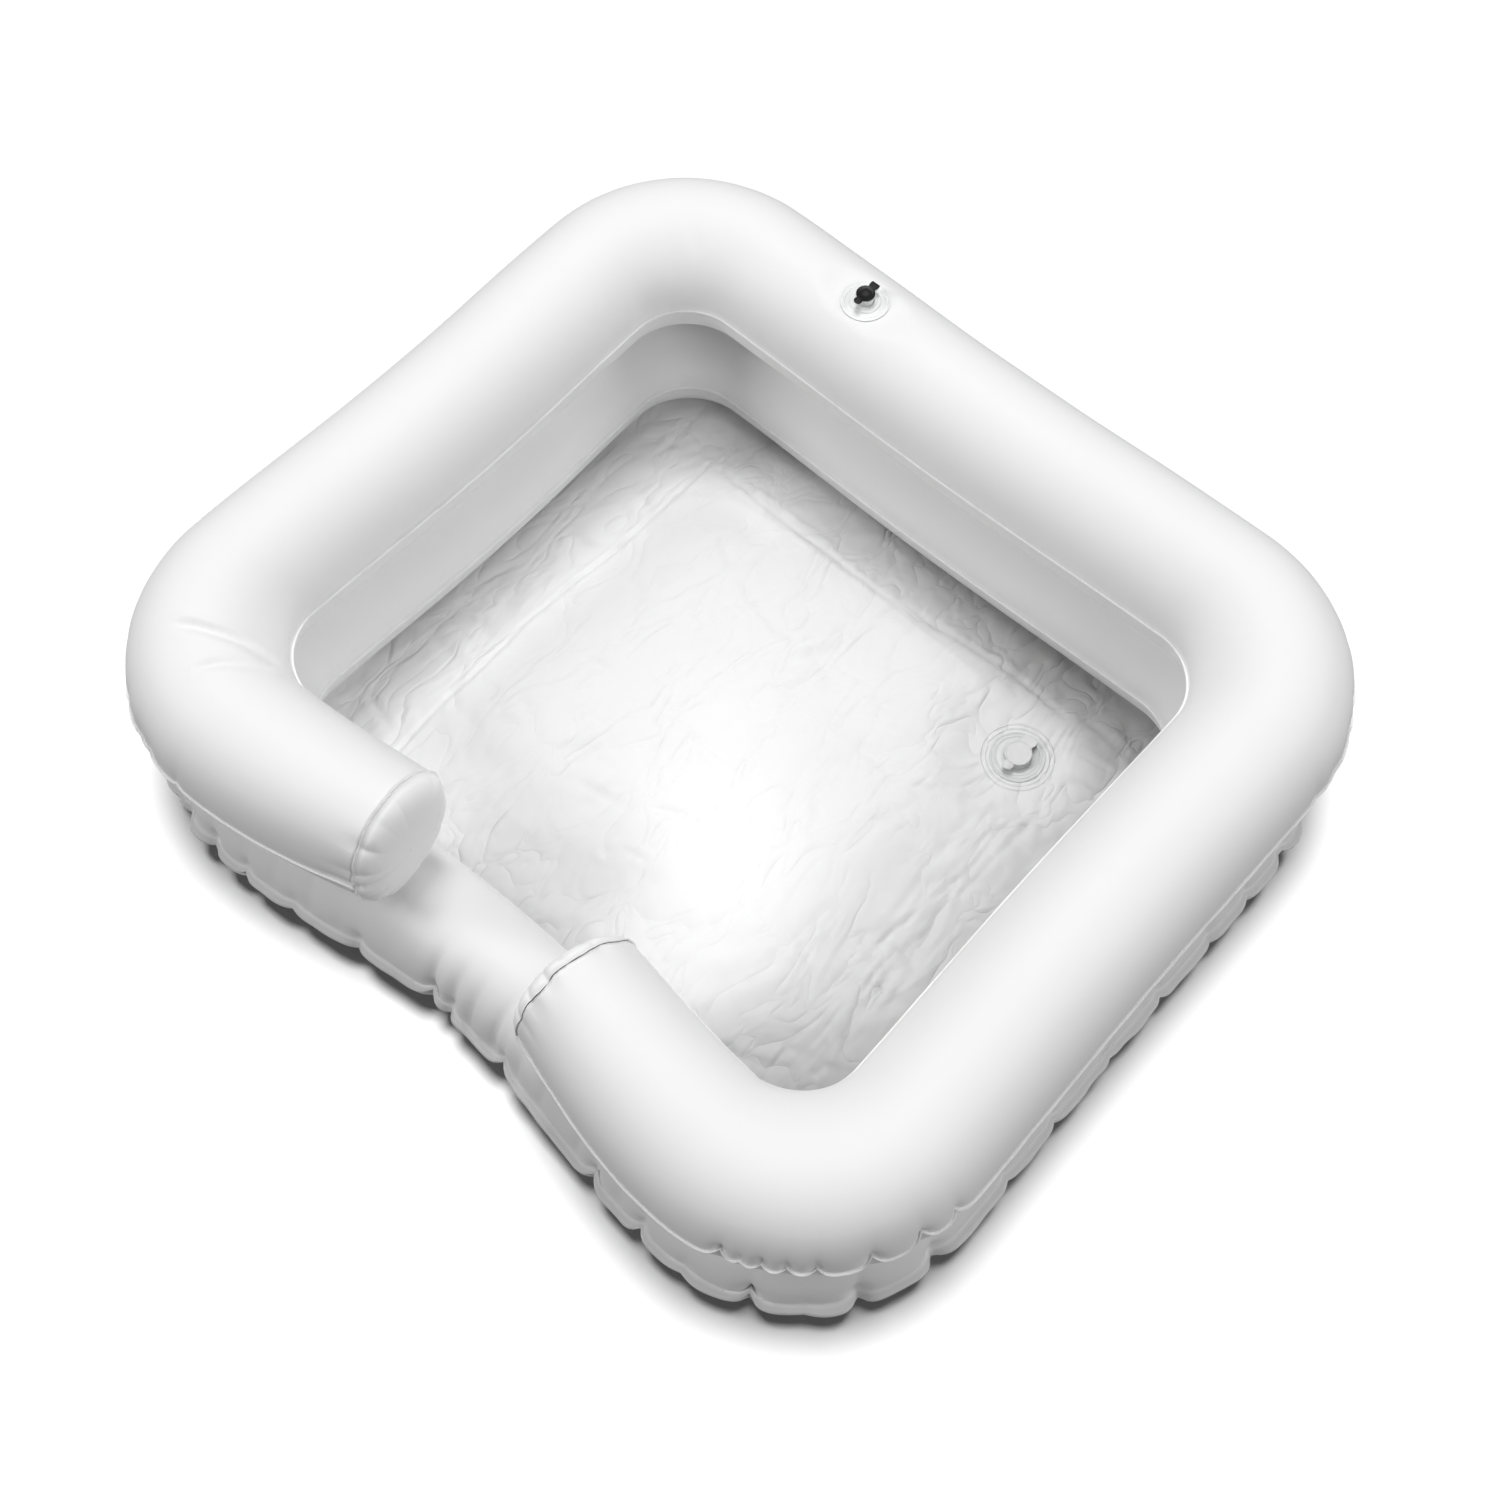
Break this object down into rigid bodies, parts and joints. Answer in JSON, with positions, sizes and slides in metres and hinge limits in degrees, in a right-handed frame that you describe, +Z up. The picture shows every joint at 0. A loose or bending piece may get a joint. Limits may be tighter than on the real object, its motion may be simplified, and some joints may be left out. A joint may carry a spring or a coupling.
{
  "type": "portable shampoo basin",
  "caption": "Inflatable shampoo basin: two stacked air rings with a neck gap, an inflated floor pad, capped air valves and a drain with a hinged stopper.",
  "frame": {"origin": "middle of the footprint, on the surface that the basin lies on", "axes": "+X along the width, +Y from the neck side to the far side, +Z up"},
  "size_m": [0.705, 0.633, 0.2068],
  "materials": {
    "white_film": "satin",
    "clear_vinyl": "clear, glossy",
    "smoked_vinyl": "glossy",
    "white_vinyl": "satin"
  },
  "bodies": {
    "basin": {"upper_ring_top_sheet": "white_film", "upper_ring_bottom_sheet": "white_film", "left_end_cap": "white_film", "right_end_cap": "white_film", "lower_ring_top_sheet": "white_film", "lower_ring_bottom_sheet": "white_film", "floor_top_sheet": "white_film", "floor_bottom_sheet": "white_film", "upper_ring_valve_flange": "clear_vinyl", "lower_ring_valve_flange": "clear_vinyl", "floor_valve_flange": "clear_vinyl", "drain_flange": "clear_vinyl", "drain_outlet_ring": "clear_vinyl"},
    "upper_stem": {"upper_ring_valve_stem": "clear_vinyl"},
    "upper_cap": {"upper_ring_valve_cap": "smoked_vinyl"},
    "upper_flap": {"upper_ring_valve_flap": "clear_vinyl"},
    "lower_stem": {"lower_ring_valve_stem": "clear_vinyl"},
    "lower_cap": {"lower_ring_valve_cap": "smoked_vinyl"},
    "lower_flap": {"lower_ring_valve_flap": "clear_vinyl"},
    "floor_stem": {"floor_valve_stem": "clear_vinyl"},
    "floor_cap": {"floor_valve_cap": "smoked_vinyl"},
    "floor_flap": {"floor_valve_flap": "clear_vinyl"},
    "stopper": {"drain_stopper": "white_vinyl"}
  },
  "joints": [
    {"name": "upper_stem_slide", "type": "slide", "parent": "basin", "child": "upper_stem", "axis": [0, 0, 1], "range_m": [-0.0045, 0.003]},
    {"name": "upper_cap_hinge", "type": "hinge", "parent": "upper_stem", "child": "upper_cap", "pos_m": [-0.113, 0.274, 0.20524], "axis": [-1, 0, 0], "range_deg": [0, 150]},
    {"name": "upper_flap_hinge", "type": "hinge", "parent": "upper_stem", "child": "upper_flap", "pos_m": [-0.113, 0.2672, 0.18614], "axis": [1, 0, 0], "range_deg": [0, 45], "stiffness_Nm_per_rad": 0.00005, "springref_deg": -20.05},
    {"name": "lower_stem_slide", "type": "slide", "parent": "basin", "child": "lower_stem", "axis": [0, 0.766, 0.6428], "range_m": [-0.0045, 0.003]},
    {"name": "lower_cap_hinge", "type": "hinge", "parent": "lower_stem", "child": "lower_cap", "pos_m": [-0.125, 0.30259, 0.08322], "axis": [0, -0.6428, 0.766], "range_deg": [0, 150]},
    {"name": "lower_flap_hinge", "type": "hinge", "parent": "lower_stem", "child": "lower_flap", "pos_m": [-0.1182, 0.28796, 0.07094], "axis": [0, 0.6428, -0.766], "range_deg": [0, 45], "stiffness_Nm_per_rad": 0.00005, "springref_deg": -20.05},
    {"name": "floor_stem_slide", "type": "slide", "parent": "basin", "child": "floor_stem", "axis": [0, 0, 1], "range_m": [-0.0045, 0.003]},
    {"name": "floor_cap_hinge", "type": "hinge", "parent": "floor_stem", "child": "floor_cap", "pos_m": [0.21, -0.19, 0.0348], "axis": [0, -1, 0], "range_deg": [0, 150]},
    {"name": "floor_flap_hinge", "type": "hinge", "parent": "floor_stem", "child": "floor_flap", "pos_m": [0.2168, -0.19, 0.0157], "axis": [0, 1, 0], "range_deg": [0, 45], "stiffness_Nm_per_rad": 0.00005, "springref_deg": -20.05},
    {"name": "stopper_hinge", "type": "hinge", "parent": "basin", "child": "stopper", "pos_m": [0.159, 0.141, 0.0401], "axis": [-1, 0, 0], "range_deg": [0, 140]}
  ]
}
